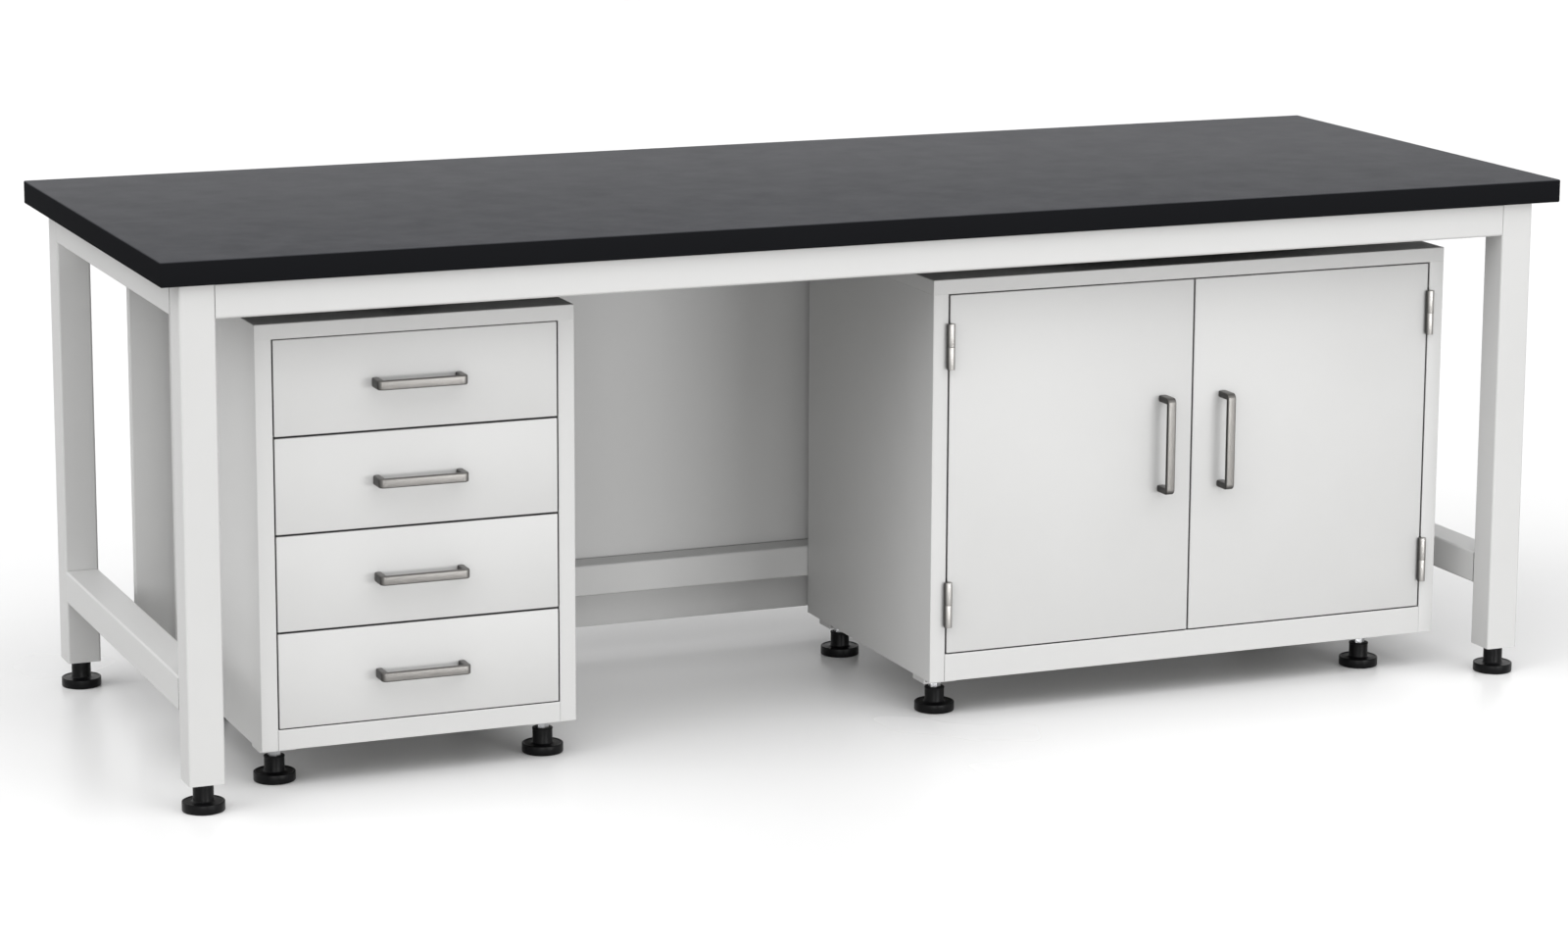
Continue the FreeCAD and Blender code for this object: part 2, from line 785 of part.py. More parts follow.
def fixed_hinge(name, x, y, z, sign):
    """The lower knuckle with the pin, its leaf against the stile."""
    radius = dim.hinge_radius
    split = (dim.hinge_length - dim.hinge_knuckle_gap) * HALF_SHARE
    body = new_body(name, x, y, z)
    pin_top = dim.hinge_length - dim.hinge_pin_cap
    half_section = new_sketch(body, "XZ_Plane")
    outline(half_section, [
        (as_size(0), as_size(0)), (radius, as_size(0)), (radius, split),
        (dim.hinge_pin_radius, split), (dim.hinge_pin_radius, pin_top), (as_size(0), pin_top),
    ])
    revolve(body, half_section)
    hinge_leaf(body, sign, as_size(0), split)
    return body


def moving_hinge(name, x, y, z, sign):
    """The upper knuckle that turns on the pin, its leaf against the door's edge."""
    radius = dim.hinge_radius
    bore = dim.hinge_pin_radius + dim.running_clearance
    split = (dim.hinge_length + dim.hinge_knuckle_gap) * HALF_SHARE
    roof = dim.hinge_length - dim.hinge_pin_cap + dim.hinge_knuckle_gap
    body = new_body(name, x, y, z)
    half_section = new_sketch(body, "XZ_Plane")
    outline(half_section, [
        (bore, split), (radius, split), (radius, dim.hinge_length),
        (as_size(0), dim.hinge_length), (as_size(0), roof), (bore, roof),
    ])
    revolve(body, half_section)
    hinge_leaf(body, sign, split, dim.hinge_length)
    return body


def make_cabinet():
    make_carcass("cabinet", cabinet_left, dim.cabinet_width, dim.cabinet_base, tabs=True)
    make_shelf()
    opening = dim.cabinet_width - dim.stile_width * 2
    door_low = unit_bottom + dim.cabinet_base + dim.front_side_gap
    door_height = side_height - dim.cabinet_base - dim.front_side_gap * 2
    door_width = (opening - dim.hinge_gap * 2 - dim.front_gap) * HALF_SHARE
    left_edge = cabinet_left + dim.stile_width
    right_edge = left_edge + opening
    fixed = []
    hinge_y = unit_front - dim.hinge_radius - dim.hinge_face_gap
    hinge_half = dim.hinge_length * HALF_SHARE
    hinge_levels = {
        "lower": door_low + dim.hinge_inset - hinge_half,
        "upper": door_low + door_height - dim.hinge_inset - hinge_half,
    }
    doors = (
        ("left_door", left_edge + dim.hinge_gap, left_edge + dim.hinge_gap * HALF_SHARE, 1),
        ("right_door", right_edge - dim.hinge_gap - door_width, right_edge - dim.hinge_gap * HALF_SHARE, -1),
    )
    for name, door_x, axis_x, sign in doors:
        node(name, lipped_pan(name, door_width, door_height, (door_x, unit_front, door_low)))
        free_edge = door_x + door_width if sign > 0 else door_x
        grip = free_edge - (dim.door_handle_inset + dim.handle_width * HALF_SHARE * sign) * sign
        grip_level = door_low + door_height * HALF_SHARE + dim.door_handle_raise
        make_handle(name + "_handle", "YZ_Plane", dim.door_handle_length, (grip, unit_front, grip_level))
        moving = []
        for place_name, level in hinge_levels.items():
            fixed.append(fixed_hinge("%s_%s_pin" % (name, place_name), axis_x, hinge_y, level, -sign))
            moving.append(moving_hinge("%s_%s_knuckle" % (name, place_name), axis_x, hinge_y, level, sign))
        node(name + "_hinges", *moving)
    node("cabinet_hinge_pins", *fixed)


def make_shelf():
    """A folded shelf between the webs and the lips, resting on the four tabs."""
    side = dim.unit_sheet + dim.shelf_side_gap
    end = dim.stile_lip + dim.shelf_end_gap
    at = (cabinet_left + side, unit_front + end, unit_bottom + dim.shelf_level + dim.shelf_thickness)
    shelf = box_pan("cabinet_shelf", "XY_Plane", dim.cabinet_width - side * 2, unit_depth - end * 2,
                    dim.shelf_thickness, dim.unit_sheet, at, backwards=True)
    node("cabinet_shelf", shelf)


make_worktop()
make_frame()
make_drawer_unit()
make_cabinet()
make_unit_feet()
doc.recompute()

faults = []
for item in doc.Objects:
    if "Invalid" in item.State or "Error" in item.State:
        faults.append("%s: %s" % (item.Name, item.State))
for item in nodes:
    if item.Shape.isNull() or not item.Shape.isValid():
        faults.append("%s: shape not valid" % item.Label)
if faults:
    raise RuntimeError("; ".join(faults))

os.makedirs("parts", exist_ok=True)
for item in nodes:
    item.Shape.exportStep("parts/%s.step" % item.Label)
print("%d sub-parts" % len(nodes))
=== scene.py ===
import json
import math

import bpy
from mathutils import Matrix, Vector

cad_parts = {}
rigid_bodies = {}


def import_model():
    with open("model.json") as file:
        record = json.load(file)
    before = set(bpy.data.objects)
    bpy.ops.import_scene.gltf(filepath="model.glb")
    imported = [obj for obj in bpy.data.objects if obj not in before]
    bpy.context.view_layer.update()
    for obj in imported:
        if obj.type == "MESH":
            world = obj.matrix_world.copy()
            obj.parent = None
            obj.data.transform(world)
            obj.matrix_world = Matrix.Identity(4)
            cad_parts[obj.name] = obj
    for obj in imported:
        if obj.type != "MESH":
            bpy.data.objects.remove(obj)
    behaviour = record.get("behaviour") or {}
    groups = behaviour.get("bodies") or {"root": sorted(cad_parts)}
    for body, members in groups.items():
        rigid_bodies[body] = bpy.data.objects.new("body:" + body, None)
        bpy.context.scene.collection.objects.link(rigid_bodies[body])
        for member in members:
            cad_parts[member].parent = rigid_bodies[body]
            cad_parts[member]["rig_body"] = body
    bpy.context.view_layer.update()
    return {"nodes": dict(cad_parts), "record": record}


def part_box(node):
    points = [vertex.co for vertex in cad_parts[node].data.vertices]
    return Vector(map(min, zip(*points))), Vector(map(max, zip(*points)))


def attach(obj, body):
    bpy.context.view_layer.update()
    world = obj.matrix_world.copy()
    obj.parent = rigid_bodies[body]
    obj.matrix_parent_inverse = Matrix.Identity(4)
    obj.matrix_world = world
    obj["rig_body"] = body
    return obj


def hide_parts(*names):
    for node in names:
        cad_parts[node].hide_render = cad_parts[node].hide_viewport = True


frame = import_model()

# Soft edges
FOLD_RADIUS = 0.0016
SEAM_RADIUS = 0.0006
WORKTOP_ARRIS = 0.0006
HANDLE_EDGE = 0.0022
HINGE_EDGE = 0.0018
SAME_PLACE = 0.00002

# Levelling foot
FOOT_STEPS = 64
FOOT_DISC = (
    (0.0, 0.0), (0.0314, 0.0), (0.0325, 0.0004), (0.0330, 0.0014), (0.0330, 0.0134),
    (0.0327, 0.0144), (0.0319, 0.0149), (0.0306, 0.0150), (0.0298, 0.0147), (0.0290, 0.0141),
    (0.0195, 0.0141), (0.0176, 0.0146), (0.0164, 0.0158), (0.0160, 0.0176),
)
COLLAR_RADIUS = 0.0160
COLLAR_RIM = 0.0014
COLLAR_BORE = 0.0112
LEG_COLLAR_TOP = 0.0446
UNIT_COLLAR_TOP = 0.0398
SPINDLE_RADIUS = 0.0060
THREAD_DEPTH = 0.0008
THREAD_PITCH = 0.00175
SPINDLE_LOW = 0.0375
SPINDLE_HIGH = 0.0875
NUT_HEIGHT = 0.0106
NUT_RADIUS = 0.0103
NUT_SIDES = 6
NUT_CHAMFER = 0.0008

# Fasteners
SCREW_RADIUS = 0.0052
SCREW_HEIGHT = 0.0022
SCREW_SIDES = 24
SCREW_CROWN = 0.0012
PANEL_SCREWS = 7
PANEL_SHEET = 0.0012

# Camera, as fitted to a picture that is 1600 by 960
PICTURE_WIDTH = 1600.0
CAMERA_PLACE = (-2.73897, -6.55597, 1.87754)
CAMERA_YAW = math.radians(22.515)
CAMERA_PITCH = math.radians(11.049)
CAMERA_ROLL = 0.0043
CAMERA_FOCUS = 4391.4
CAMERA_RISE = -80.0
SENSOR_WIDTH = 36.0

# Soft light: two broad glows in the sky, each with its middle and its level
GLOWS = (((-0.79, -0.12, 0.60), 2.35), ((0.27, -0.43, 0.86), 2.12))
GLOW_SPREAD = 4.0
FLOOR_BOUNCE = (0.36, 0.356, 0.348)
FLOOR_SIZE = 60.0
FLOOR_DROP = 0.0004

# Softboxes: place, aim, width and height, power
SOFTBOXES = {
    "front_left_softbox": ((-2.6, -6.2, 0.65), (0.0, -0.3, 0.45), (2.4, 0.9), 64.0),
    "front_right_softbox": ((2.2, -6.2, 0.65), (0.2, -0.3, 0.45), (2.4, 0.9), 110.0),
}

# Tones: from and to, and the dark ones: painted shade in gaps and crevices, on the metal's turned-away
# flanks and on the worktop's edges, besides the worktop's darker mottle
PAINT_TONES = ((0.645, 0.645, 0.640), (0.668, 0.668, 0.663))
PAINT_GAP_SHADE = (0.022, 0.0215, 0.021)
RESIN_TONES = ((0.0590, 0.0601, 0.0660), (0.0790, 0.0804, 0.0875))
RESIN_CLOUD = (0.0510, 0.0522, 0.0578)
RESIN_EDGE_SHADE = (0.0100, 0.0104, 0.0118)
HANDLE_TONES = ((0.160, 0.154, 0.146), (0.222, 0.215, 0.205))
HANDLE_FLANK_SHADE = (0.050, 0.048, 0.046)
HINGE_TONES = ((0.36, 0.35, 0.335), (0.47, 0.458, 0.44))
HINGE_FLANK_SHADE = (0.085, 0.082, 0.078)
METAL_GAP_SHADE = (0.015, 0.015, 0.014)
ZINC_TONES = ((0.30, 0.305, 0.315), (0.42, 0.425, 0.43))
PLASTIC_TONES = ((0.0030, 0.0030, 0.0033), (0.0055, 0.0055, 0.0060))
FLOOR_TONES = ((0.955, 0.955, 0.955), (0.965, 0.965, 0.965))

# Directions, and the brushing's scale along the bench and upright
UPWARDS = (0, 0, 1)
FORWARDS_AND_UP = (0, -1, 0.75)
ALONG = (30.0, 1500.0, 1500.0)
UPRIGHT = (1500.0, 1500.0, 30.0)

# Where a crevice counts as shut and as open, and where a face counts as turned away and as facing: painted
# shade falls in shut crevices and on turned-away faces
CREVICE_REACH = 0.006
CREVICE_RANGE = (0.15, 0.62)
FACING_RANGE = (0.25, 0.95)

nodes = frame["nodes"]
body_of_node = {name: item["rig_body"] for name, item in nodes.items()}


# Shader groups

def new_group(name, inputs, outputs):
    """An empty shader group with its named sockets."""
    group = bpy.data.node_groups.new(name, "ShaderNodeTree")
    for socket, kind, value in inputs:
        made = group.interface.new_socket(socket, in_out="INPUT", socket_type=kind)
        made.default_value = value
    for socket, kind in outputs:
        group.interface.new_socket(socket, in_out="OUTPUT", socket_type=kind)
    return group, group.nodes.new("NodeGroupInput"), group.nodes.new("NodeGroupOutput")


def noise(tree, place, scale, detail, roughness=0.5):
    node = tree.nodes.new("ShaderNodeTexNoise")
    tree.links.new(place, node.inputs["Vector"])
    node.inputs["Scale"].default_value = scale
    node.inputs["Detail"].default_value = detail
    node.inputs["Roughness"].default_value = roughness
    return node


def mapped(tree, source, low, high, new_low, new_high):
    node = tree.nodes.new("ShaderNodeMapRange")
    node.inputs["From Min"].default_value = low
    node.inputs["From Max"].default_value = high
    node.inputs["To Min"].default_value = new_low
    node.inputs["To Max"].default_value = new_high
    tree.links.new(source, node.inputs["Value"])
    return node.outputs["Result"]


def make_grain_group():
    """Fine grain over broad cloudiness, for coats and cast surfaces."""
    group, given, result = new_group(
        "fine_grain",
        [("Place", "NodeSocketVector", (0, 0, 0)), ("Grain", "NodeSocketFloat", 900.0),
         ("Cloud", "NodeSocketFloat", 6.0)],
        [("Height", "NodeSocketFloat"), ("Cloudiness", "NodeSocketFloat"), ("Speckle", "NodeSocketFloat")])
    fine = noise(group, given.outputs["Place"], 1.0, 3.0, 0.55)
    group.links.new(given.outputs["Grain"], fine.inputs["Scale"])
    broad = noise(group, given.outputs["Place"], 1.0, 4.0, 0.6)
    group.links.new(given.outputs["Cloud"], broad.inputs["Scale"])
    speckle = mapped(group, fine.outputs["Fac"], 0.35, 0.65, 0.0, 1.0)
    group.links.new(fine.outputs["Fac"], result.inputs["Height"])
    group.links.new(mapped(group, broad.outputs["Fac"], 0.3, 0.7, 0.0, 1.0), result.inputs["Cloudiness"])
    group.links.new(speckle, result.inputs["Speckle"])
    return group


def make_brushed_group():
    """Long fine scratches along one direction."""
    group, given, result = new_group(
        "brushed_scratches",
        [("Place", "NodeSocketVector", (0, 0, 0)), ("Stretch", "NodeSocketVector", (1, 1, 1))],
        [("Height", "NodeSocketFloat"), ("Streak", "NodeSocketFloat")])
    stretched = group.nodes.new("ShaderNodeVectorMath")
    stretched.operation = "MULTIPLY"
    group.links.new(given.outputs["Place"], stretched.inputs[0])
    group.links.new(given.outputs["Stretch"], stretched.inputs[1])
    fine = noise(group, stretched.outputs["Vector"], 1.0, 4.0, 0.65)
    group.links.new(fine.outputs["Fac"], result.inputs["Height"])
    group.links.new(mapped(group, fine.outputs["Fac"], 0.3, 0.7, 0.0, 1.0), result.inputs["Streak"])
    return group


def make_crevice_shade_group():
    """Painted shade where two surfaces nearly meet: the colour darkens in gaps and crevices as if in
    shadow.
    """
    group, given, result = new_group(
        "crevice_shade", [("Reach", "NodeSocketFloat", CREVICE_REACH)], [("Open", "NodeSocketFloat")])
    hollow = group.nodes.new("ShaderNodeAmbientOcclusion")
    hollow.samples = 8
    group.links.new(given.outputs["Reach"], hollow.inputs["Distance"])
    group.links.new(mapped(group, hollow.outputs["AO"], *CREVICE_RANGE, 0.0, 1.0), result.inputs["Open"])
    return group


def make_facing_group():
    """One on the faces that look one way, and nothing on those that turn from it; it masks the painted
    shade on faces turned away.
    """
    group, given, result = new_group(
        "facing_share",
        [("Facing", "NodeSocketVector", (0, 0, 0)), ("Front", "NodeSocketVector", UPWARDS)],
        [("Share", "NodeSocketFloat")])
    turn = group.nodes.new("ShaderNodeVectorMath")
    turn.operation = "DOT_PRODUCT"
    group.links.new(given.outputs["Facing"], turn.inputs[0])
    group.links.new(given.outputs["Front"], turn.inputs[1])
    share = mapped(group, turn.outputs["Value"], *FACING_RANGE, 0.0, 1.0)
    group.links.new(share, result.inputs["Share"])
    return group


GRAIN = make_grain_group()
BRUSHED = make_brushed_group()
CREVICE_SHADE = make_crevice_shade_group()
FACING = make_facing_group()


# Materials

class Finish:
    """A material with its object coordinates and its Principled shader at hand."""

    def __init__(self, name):
        self.material = bpy.data.materials.new(name)
        self.material.use_nodes = True
        self.tree = self.material.node_tree
        self.shader = self.tree.nodes["Principled BSDF"]
        coordinates = self.tree.nodes.new("ShaderNodeTexCoord")
        self.given = {"Place": coordinates.outputs["Object"], "Facing": coordinates.outputs["Normal"]}

    def set(self, **values):
        for socket, value in values.items():
            self.shader.inputs[socket.replace("_", " ")].default_value = value

    def group(self, tree, **values):
        node = self.tree.nodes.new("ShaderNodeGroup")
        node.node_tree = tree
        for socket, source in self.given.items():
            if socket in node.inputs:
                self.tree.links.new(source, node.inputs[socket])
        for socket, value in values.items():
            node.inputs[socket].default_value = value
        return node.outputs

    def colour(self, mask, low, high):
        """Base colour between two tones by a mask."""
        ramp = self.tree.nodes.new("ShaderNodeMix")
        ramp.data_type = "RGBA"
        ramp.inputs["A"].default_value = (*low, 1)
        ramp.inputs["B"].default_value = (*high, 1)
        self.tree.links.new(mask, ramp.inputs["Factor"])
        self.tree.links.new(ramp.outputs["Result"], self.shader.inputs["Base Color"])
        return ramp.outputs["Result"]

    def darken(self, surface, dark, mask):
        """The surface keeps its colour where the mask is one, and falls to a dark tone elsewhere."""
        mix = self.tree.nodes.new("ShaderNodeMix")
        mix.data_type = "RGBA"
        mix.inputs["A"].default_value = (*dark, 1)
        self.tree.links.new(surface, mix.inputs["B"])
        self.tree.links.new(mask, mix.inputs["Factor"])
        self.tree.links.new(mix.outputs["Result"], self.shader.inputs["Base Color"])
        return mix.outputs["Result"]

    def roughness(self, mask, low, high):
        self.tree.links.new(mapped(self.tree, mask, 0.0, 1.0, low, high), self.shader.inputs["Roughness"])

    def bump(self, height, strength, distance):
        node = self.tree.nodes.new("ShaderNodeBump")
        node.inputs["Strength"].default_value = strength
        node.inputs["Distance"].default_value = distance
        self.tree.links.new(height, node.inputs["Height"])
        self.tree.links.new(node.outputs["Normal"], self.shader.inputs["Normal"])


def powder_coat():
    finish = Finish("white_powder_coat")
    grain = finish.group(GRAIN, Grain=750.0, Cloud=5.0)
    paint = finish.colour(grain["Cloudiness"], *PAINT_TONES)
    # Painted shade: the coat falls to a near-black tone in gaps and crevices, where shadow would lie.
    finish.darken(paint, PAINT_GAP_SHADE, finish.group(CREVICE_SHADE)["Open"])
    finish.roughness(grain["Cloudiness"], 0.42, 0.50)
    finish.bump(grain["Height"], 0.10, 0.0004)
    return finish.material


def charcoal_resin():
    finish = Finish("charcoal_resin")
    grain = finish.group(GRAIN, Grain=1400.0, Cloud=16.0)
    fine = finish.colour(grain["Speckle"], *RESIN_TONES)
    board = finish.darken(fine, RESIN_CLOUD, grain["Cloudiness"])
    # Painted shade: faces that don't look up, the worktop's edges and underside, fall to a near-black
    # tone, while the top keeps a lighter tone that stands in for its sheen.
    upper = finish.group(FACING, Front=UPWARDS)["Share"]
    finish.darken(board, RESIN_EDGE_SHADE, upper)
    finish.roughness(upper, 0.95, 0.475)
    finish.set(Specular_IOR_Level=0.025)
    finish.bump(grain["Height"], 0.22, 0.0003)
    return finish.material


def brushed_nickel(name, stretch, tones, flank_shade):
    finish = Finish(name)
    streaks = finish.group(BRUSHED, Stretch=stretch)
    metal = finish.colour(streaks["Streak"], *tones)
    # Painted shade: faces turned away from the front and top fall to a dark flank tone, standing in for
    # the dark reflections on the sides.
    brushed = finish.darken(metal, flank_shade, finish.group(FACING, Front=FORWARDS_AND_UP)["Share"])
    # Painted shade: the metal darkens in gaps and crevices, where shadow would lie.
    finish.darken(brushed, METAL_GAP_SHADE, finish.group(CREVICE_SHADE)["Open"])
    finish.roughness(streaks["Streak"], 0.34, 0.44)
    finish.set(Metallic=1.0)
    finish.bump(streaks["Height"], 0.12, 0.0001)
    return finish.material


def zinc_plate():
    finish = Finish("zinc_plated_steel")
    grain = finish.group(GRAIN, Grain=420.0, Cloud=40.0)
    finish.colour(grain["Cloudiness"], *ZINC_TONES)
    finish.roughness(grain["Speckle"], 0.28, 0.42)
    finish.set(Metallic=1.0)
    finish.bump(grain["Height"], 0.08, 0.0002)
    return finish.material


def black_plastic():
    finish = Finish("black_plastic")
    grain = finish.group(GRAIN, Grain=1100.0, Cloud=30.0)
    finish.colour(grain["Cloudiness"], *PLASTIC_TONES)
    finish.roughness(grain["Speckle"], 0.30, 0.38)
    finish.set(Specular_IOR_Level=0.12)
    finish.bump(grain["Height"], 0.15, 0.0003)
    return finish.material


POWDER_COAT = powder_coat()
RESIN = charcoal_resin()
NICKEL_ALONG = brushed_nickel("brushed_nickel_along", ALONG, HANDLE_TONES, HANDLE_FLANK_SHADE)
NICKEL_UPRIGHT = brushed_nickel("brushed_nickel_upright", UPRIGHT, HANDLE_TONES, HANDLE_FLANK_SHADE)
NICKEL_HINGE = brushed_nickel("brushed_nickel_hinge", UPRIGHT, HINGE_TONES, HINGE_FLANK_SHADE)
ZINC = zinc_plate()
PLASTIC = black_plastic()

SLOT_FINISH = {
    "charcoal_resin": RESIN,
    "white_powder_coat": POWDER_COAT,
    "zinc_plated_steel": ZINC,
    "brushed_nickel": NICKEL_UPRIGHT,
    "black_plastic": PLASTIC,
}
slot_of_node = {item["node"]: item["material_slot"] for item in frame["record"]["subparts"]}


def finish_with(item, material):
    item.data.materials.clear()
    item.data.materials.append(material)


for name, item in nodes.items():
    finish_with(item, SLOT_FINISH[slot_of_node[name]])


# Modelling helpers

def select_only(item):
    bpy.ops.object.select_all(action="DESELECT")
    item.select_set(True)
    bpy.context.view_layer.objects.active = item


def merged_copy(node, name):
    """A copy of a CAD node with its loose triangles merged into whole faces."""
    item = bpy.data.objects.new(name, nodes[node].data.copy())
    bpy.context.scene.collection.objects.link(item)
    select_only(item)
    bpy.ops.object.mode_set(mode="EDIT")
    bpy.ops.mesh.select_all(action="SELECT")
    bpy.ops.mesh.remove_doubles(threshold=SAME_PLACE)
    bpy.ops.mesh.dissolve_limited(angle_limit=math.radians(0.5))
    bpy.ops.mesh.select_all(action="DESELECT")
    bpy.ops.object.mode_set(mode="OBJECT")
    return item


def bevel_edges(item, radius, segments, wanted):
    """Round the edges whose two ends pass the test."""
    select_only(item)
    bpy.ops.object.mode_set(mode="EDIT")
    bpy.ops.mesh.select_mode(type="EDGE")
    bpy.ops.mesh.select_all(action="DESELECT")
    bpy.ops.object.mode_set(mode="OBJECT")
    mesh = item.data
    for edge in mesh.edges:
        ends = [mesh.vertices[index].co for index in edge.vertices]
        edge.select = wanted(*ends)
    bpy.ops.object.mode_set(mode="EDIT")
    bpy.ops.mesh.bevel(offset=radius, segments=segments, affect="EDGES", profile=0.5, clamp_overlap=True)
    bpy.ops.object.mode_set(mode="OBJECT")
    smooth(item)


def smooth(item, angle=35.0):
    select_only(item)
    bpy.ops.object.shade_smooth_by_angle(angle=math.radians(angle))


def at_side(point, axis, place):
    return abs(point[axis] - place) < SAME_PLACE


def stand_for(item, node, material):
    """The finished piece is shown in place of its CAD node."""
    finish_with(item, material)
    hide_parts(node)
    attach(item, body_of_node[node])


def soften_pan(node, axis, skin_high, seam=False):
    """A folded pan: its skin's border and its folded corners get the bend radius."""
    low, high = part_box(node)
    free_end = low[axis] if skin_high else high[axis]
    item = merged_copy(node, node + "_folded")

    def on_border(first, second):
        shared = 0
        for direction in range(3):
            for place in (low[direction], high[direction]):
                shared += at_side(first, direction, place) and at_side(second, direction, place)
        at_free_end = at_side(first, axis, free_end) and at_side(second, axis, free_end)
        return shared >= 2 and not at_free_end

    def on_seam(first, second):
        outside = any(at_side(first, direction, place) and at_side(second, direction, place)
                      for direction in range(3) if direction != axis
                      for place in (low[direction], high[direction]))
        return outside and at_side(first, axis, free_end) and at_side(second, axis, free_end)

    bevel_edges(item, FOLD_RADIUS, 3, on_border)
    if seam:
        bevel_edges(item, SEAM_RADIUS, 2, on_seam)
    stand_for(item, node, POWDER_COAT)


def soften_upright(node):
    """A folded side: the bends that run from bottom to top get the bend radius."""
    low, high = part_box(node)
    item = merged_copy(node, node + "_folded")

    def on_corner(first, second):
        upright = abs(first.z - second.z) > SAME_PLACE * 10
        across = any(at_side(first, 0, x) and at_side(second, 0, x) for x in (low.x, high.x))
        along = any(at_side(first, 1, y) and at_side(second, 1, y) for y in (low.y, high.y))
        return upright and across and along

    bevel_edges(item, FOLD_RADIUS, 3, on_corner)
    stand_for(item, node, POWDER_COAT)


def soften_sharp(node, radius, segments, material, least_turn=50.0):
    """Every edge that turns sharply is rounded."""
    item = merged_copy(node, node + "_soft")
    select_only(item)
    bpy.ops.object.modifier_add(type="BEVEL")
    bevel = item.modifiers[-1]
    bevel.width = radius
    bevel.segments = segments
    bevel.limit_method = "ANGLE"
    bevel.angle_limit = math.radians(least_turn)
    bevel.use_clamp_overlap = True
    bpy.ops.object.modifier_apply(modifier=bevel.name)
    smooth(item)
    stand_for(item, node, material)


def spun(name, outline):
    """A turned piece from half its section, as (radius, height) pairs."""
    bpy.ops.object.select_all(action="DESELECT")
    mesh = bpy.data.meshes.new(name)
    points = [(radius, 0.0, height) for radius, height in outline]
    mesh.from_pydata(points, [(index, index + 1) for index in range(len(points) - 1)], [])
    item = bpy.data.objects.new(name, mesh)
    bpy.context.scene.collection.objects.link(item)
    select_only(item)
    bpy.ops.object.mode_set(mode="EDIT")
    bpy.ops.mesh.select_all(action="SELECT")
    bpy.ops.mesh.spin(steps=FOOT_STEPS, angle=math.tau, center=(0, 0, 0), axis=(0, 0, 1))
    bpy.ops.mesh.select_all(action="SELECT")
    bpy.ops.mesh.remove_doubles(threshold=SAME_PLACE)
    bpy.ops.mesh.normals_make_consistent(inside=False)
    bpy.ops.object.mode_set(mode="OBJECT")
    smooth(item)
    return item


def headed(name, radius, height, sides, crown):
    """A screw or bolt head that stands up from the origin, its rim rounded over."""
    bpy.ops.object.select_all(action="DESELECT")
    bpy.ops.mesh.primitive_cylinder_add(vertices=sides, radius=radius, depth=height,
                                        location=(0, 0, height * 0.5))
    item = bpy.context.object
    item.name = name
    bpy.ops.object.transform_apply(location=True, rotation=True, scale=True)

    def on_rim(first, second):
        return at_side(first, 2, height) and at_side(second, 2, height)

    bevel_edges(item, crown, 3, on_rim)
    return item


def copy_to(source, name, place, turn=None):
    """Its own copy of a piece, with its place in its mesh."""
    item = bpy.data.objects.new(name, source.data.copy())
    bpy.context.scene.collection.objects.link(item)
    matrix = Matrix.Translation(place)
    if turn is not None:
        matrix = matrix @ turn
    item.data.transform(matrix)
    return item


def remove(*items):
    for item in items:
        bpy.data.objects.remove(item, do_unlink=True)


# The folded steel, the worktop and the fittings

def dress_steel():
    for unit in ("drawer_unit", "cabinet"):
        soften_pan(unit + "_cap", 2, True, seam=True)
        soften_upright(unit + "_left_side")
        soften_upright(unit + "_right_side")
        soften_pan(unit + "_back", 1, True)
        soften_pan(unit + "_bottom", 2, True)
    for number in range(1, 5):
        soften_pan("drawer_%d_front" % number, 1, False)
    for door in ("left_door", "right_door"):
        soften_pan(door, 1, False)
    soften_pan("back_panel", 1, False)
    soften_pan("cabinet_shelf", 2, True)


def dress_fittings():
    soften_sharp("worktop", WORKTOP_ARRIS, 3, RESIN, 30.0)
    for number in range(1, 5):
        soften_sharp("drawer_%d_handle" % number, HANDLE_EDGE, 4, NICKEL_ALONG)
    for door in ("left_door", "right_door"):
        soften_sharp(door + "_handle", HANDLE_EDGE, 4, NICKEL_UPRIGHT)
        soften_sharp(door + "_hinges", HINGE_EDGE, 3, NICKEL_HINGE)
    soften_sharp("cabinet_hinge_pins", HINGE_EDGE, 3, NICKEL_HINGE)


def thread_outline():
    points = [(0.0, SPINDLE_LOW)]
    height = SPINDLE_LOW
    while height < SPINDLE_HIGH:
        points.append((SPINDLE_RADIUS - THREAD_DEPTH, height))
        points.append((SPINDLE_RADIUS, height + THREAD_PITCH * 0.5))
        height += THREAD_PITCH
    points.append((SPINDLE_RADIUS - THREAD_DEPTH, height))
    points.append((0.0, height))
    return points


def foot_outline(collar_top):
    lip = COLLAR_RADIUS * 1.03
    return FOOT_DISC + (
        (COLLAR_RADIUS, collar_top - COLLAR_RIM * 2), (lip, collar_top - COLLAR_RIM * 1.7),
        (lip, collar_top - COLLAR_RIM * 0.5), (COLLAR_RADIUS, collar_top - COLLAR_RIM * 0.12),
        (COLLAR_RADIUS * 0.94, collar_top), (COLLAR_BORE, collar_top),
        (COLLAR_BORE, collar_top - COLLAR_RIM), (0.0, collar_top - COLLAR_RIM),
    )


